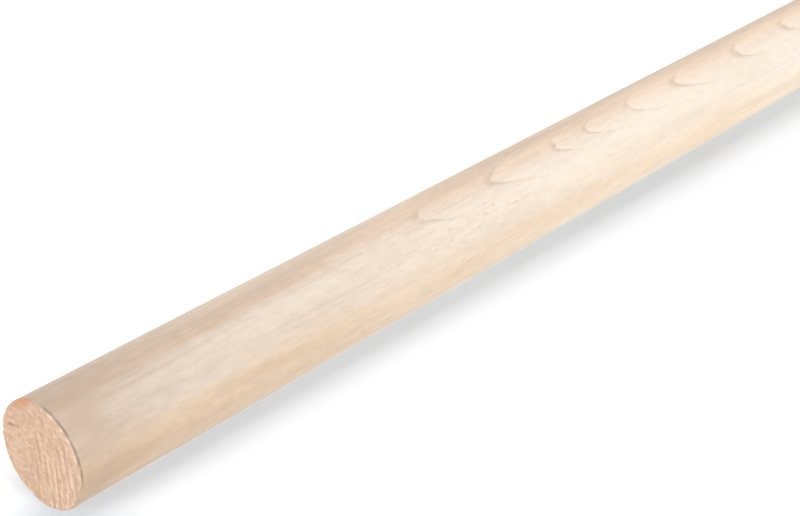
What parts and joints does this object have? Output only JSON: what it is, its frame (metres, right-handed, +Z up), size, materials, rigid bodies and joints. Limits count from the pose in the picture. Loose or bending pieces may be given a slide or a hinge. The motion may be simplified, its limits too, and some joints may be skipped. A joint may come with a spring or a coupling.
{
  "type": "wooden dowel rod",
  "caption": "Straight round rod of pale close-grained hardwood with square sawn ends and lightly eased edges, for pegs, shafts, rails and handles.",
  "frame": {"origin": "centre of the sawn end that the rod stands on, on the surface under it", "axes": "+Z up along the rod's axis and the grain; the rod is round, so +X and +Y are free"},
  "size_m": [0.02, 0.02, 0.3],
  "materials": {
    "wood": "planed and sanded, unfinished"
  },
  "bodies": {
    "root": {"dowel_rod": "wood"}
  },
  "joints": []
}
